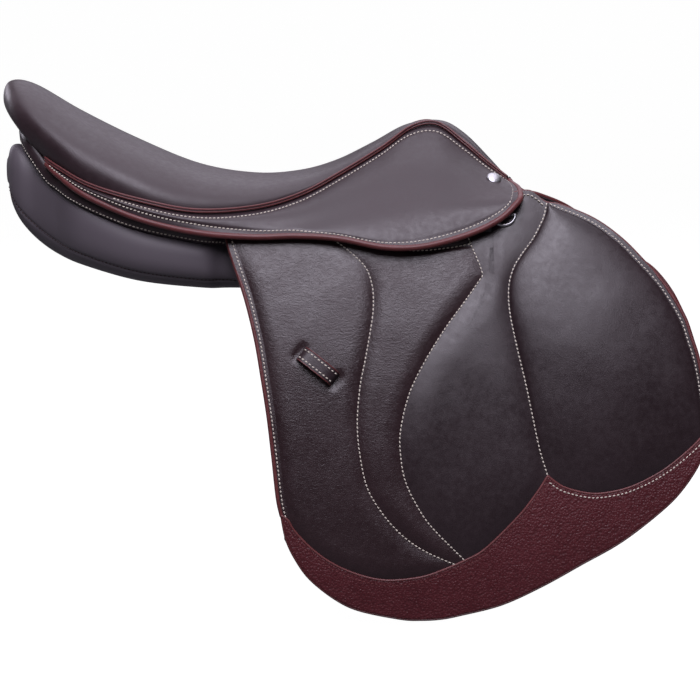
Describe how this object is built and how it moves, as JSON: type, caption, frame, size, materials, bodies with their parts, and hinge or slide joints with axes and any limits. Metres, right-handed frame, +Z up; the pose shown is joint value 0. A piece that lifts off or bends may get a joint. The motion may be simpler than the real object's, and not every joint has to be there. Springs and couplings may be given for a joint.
{
  "type": "jumping saddle",
  "caption": "Close-contact jumping saddle with a dipped seat, forward padded flaps with knee pads, lifting skirts over stirrup bars, girth straps and a cushioned panel.",
  "frame": {"origin": "on the line of the spine, level with the lowest bearing line of the panel, below the seat's front half", "axes": "+X towards the horse's head, +Y to its left, +Z up"},
  "size_m": [0.5931, 0.3692, 0.4356],
  "materials": {
    "dark_leather": "satin near-black brown leather with a milled grain",
    "smooth_leather": "smooth satin near-black brown leather",
    "panel_leather": "soft dark leather over wool",
    "burgundy_leather": "burgundy leather edging",
    "burgundy_grain": "grained burgundy leather",
    "lining_leather": "plain dark lining leather",
    "bright_steel": "polished plated steel",
    "plain_steel": "plain rolled steel",
    "tree_shell": "moulded matte composite",
    "seat_padding": "cut open-cell foam",
    "webbing": "woven webbing"
  },
  "bodies": {
    "saddle": {"tree": "tree_shell", "head_plate": "plain_steel", "tree_springs": "plain_steel", "tree_rivets": "plain_steel", "seat_web": "webbing", "seat_foam": "seat_padding", "seat_leather": "smooth_leather", "panel_band": "dark_leather", "panel_lining": "lining_leather", "strap_rivets": "plain_steel", "right_piping": "burgundy_leather", "left_piping": "burgundy_leather", "right_skirt": "dark_leather", "left_skirt": "dark_leather", "right_skirt_binding": "burgundy_leather", "left_skirt_binding": "burgundy_leather", "right_saddle_nail": "bright_steel", "left_saddle_nail": "bright_steel", "right_stirrup_bar": "bright_steel", "left_stirrup_bar": "bright_steel", "right_dee_chape": "smooth_leather", "left_dee_chape": "smooth_leather", "right_flap_head": "dark_leather", "left_flap_head": "dark_leather", "right_sweat_flap": "smooth_leather", "left_sweat_flap": "smooth_leather", "right_girth_web": "webbing", "left_girth_web": "webbing", "right_panel": "panel_leather", "left_panel": "panel_leather"},
    "right_flap": {"right_flap": "smooth_leather", "right_rear_pad": "dark_leather", "right_centre_pad": "dark_leather", "right_calf_pad": "smooth_leather", "right_knee_pad": "smooth_leather", "right_flap_guard": "burgundy_grain", "right_keeper": "burgundy_leather"},
    "right_skirt_lip": {"right_skirt_lip": "dark_leather", "right_lip_binding": "burgundy_leather"},
    "right_bar_catch": {"right_bar_catch": "bright_steel"},
    "right_dee_ring": {"right_dee_ring": "bright_steel"},
    "right_front_strap": {"right_front_strap": "lining_leather"},
    "right_middle_strap": {"right_middle_strap": "lining_leather"},
    "right_rear_strap": {"right_rear_strap": "lining_leather"},
    "left_flap": {"left_flap": "smooth_leather", "left_rear_pad": "dark_leather", "left_centre_pad": "dark_leather", "left_calf_pad": "smooth_leather", "left_knee_pad": "smooth_leather", "left_flap_guard": "burgundy_grain", "left_keeper": "burgundy_leather"},
    "left_skirt_lip": {"left_skirt_lip": "dark_leather", "left_lip_binding": "burgundy_leather"},
    "left_bar_catch": {"left_bar_catch": "bright_steel"},
    "left_dee_ring": {"left_dee_ring": "bright_steel"},
    "left_front_strap": {"left_front_strap": "lining_leather"},
    "left_middle_strap": {"left_middle_strap": "lining_leather"},
    "left_rear_strap": {"left_rear_strap": "lining_leather"}
  },
  "joints": [
    {"name": "right_flap_lift", "type": "hinge", "parent": "saddle", "child": "right_flap", "pos_m": [0, -0.12898, 0.04029], "axis": [-1, 0, 0], "range_deg": [0, 85]},
    {"name": "right_skirt_lift", "type": "hinge", "parent": "saddle", "child": "right_skirt_lip", "pos_m": [-0.04395, -0.12932, 0.06294], "axis": [-0.9862, -0.0488, -0.1584], "range_deg": [0, 60]},
    {"name": "right_bar_catch_turn", "type": "hinge", "parent": "saddle", "child": "right_bar_catch", "pos_m": [0.04299, -0.0907, 0.06945], "axis": [0, 0.766, -0.6428], "range_deg": [0, 75]},
    {"name": "right_dee_swing", "type": "hinge", "parent": "saddle", "child": "right_dee_ring", "pos_m": [0.128, -0.11457, 0.07907], "axis": [-1, 0, 0], "range_deg": [0, 20]},
    {"name": "right_front_strap_swing", "type": "hinge", "parent": "saddle", "child": "right_front_strap", "pos_m": [0.028, -0.12139, 0.03098], "axis": [0, -0.9361, 0.3518], "range_deg": [-4, 4]},
    {"name": "right_middle_strap_swing", "type": "hinge", "parent": "saddle", "child": "right_middle_strap", "pos_m": [-0.006, -0.11671, 0.02923], "axis": [0, -0.9361, 0.3518], "range_deg": [-4, 4]},
    {"name": "right_rear_strap_swing", "type": "hinge", "parent": "saddle", "child": "right_rear_strap", "pos_m": [-0.04, -0.12139, 0.03098], "axis": [0, -0.9361, 0.3518], "range_deg": [-4, 4]},
    {"name": "left_flap_lift", "type": "hinge", "parent": "saddle", "child": "left_flap", "pos_m": [0, 0.12898, 0.04029], "axis": [1, 0, 0], "range_deg": [0, 85]},
    {"name": "left_skirt_lift", "type": "hinge", "parent": "saddle", "child": "left_skirt_lip", "pos_m": [-0.04395, 0.12932, 0.06294], "axis": [0.9862, -0.0488, 0.1584], "range_deg": [0, 60]},
    {"name": "left_bar_catch_turn", "type": "hinge", "parent": "saddle", "child": "left_bar_catch", "pos_m": [0.04299, 0.0907, 0.06945], "axis": [0, 0.766, 0.6428], "range_deg": [0, 75]},
    {"name": "left_dee_swing", "type": "hinge", "parent": "saddle", "child": "left_dee_ring", "pos_m": [0.128, 0.11457, 0.07907], "axis": [1, 0, 0], "range_deg": [0, 20]},
    {"name": "left_front_strap_swing", "type": "hinge", "parent": "saddle", "child": "left_front_strap", "pos_m": [0.028, 0.12139, 0.03098], "axis": [0, -0.9361, -0.3518], "range_deg": [-4, 4]},
    {"name": "left_middle_strap_swing", "type": "hinge", "parent": "saddle", "child": "left_middle_strap", "pos_m": [-0.006, 0.11671, 0.02923], "axis": [0, -0.9361, -0.3518], "range_deg": [-4, 4]},
    {"name": "left_rear_strap_swing", "type": "hinge", "parent": "saddle", "child": "left_rear_strap", "pos_m": [-0.04, 0.12139, 0.03098], "axis": [0, -0.9361, -0.3518], "range_deg": [-4, 4]}
  ]
}
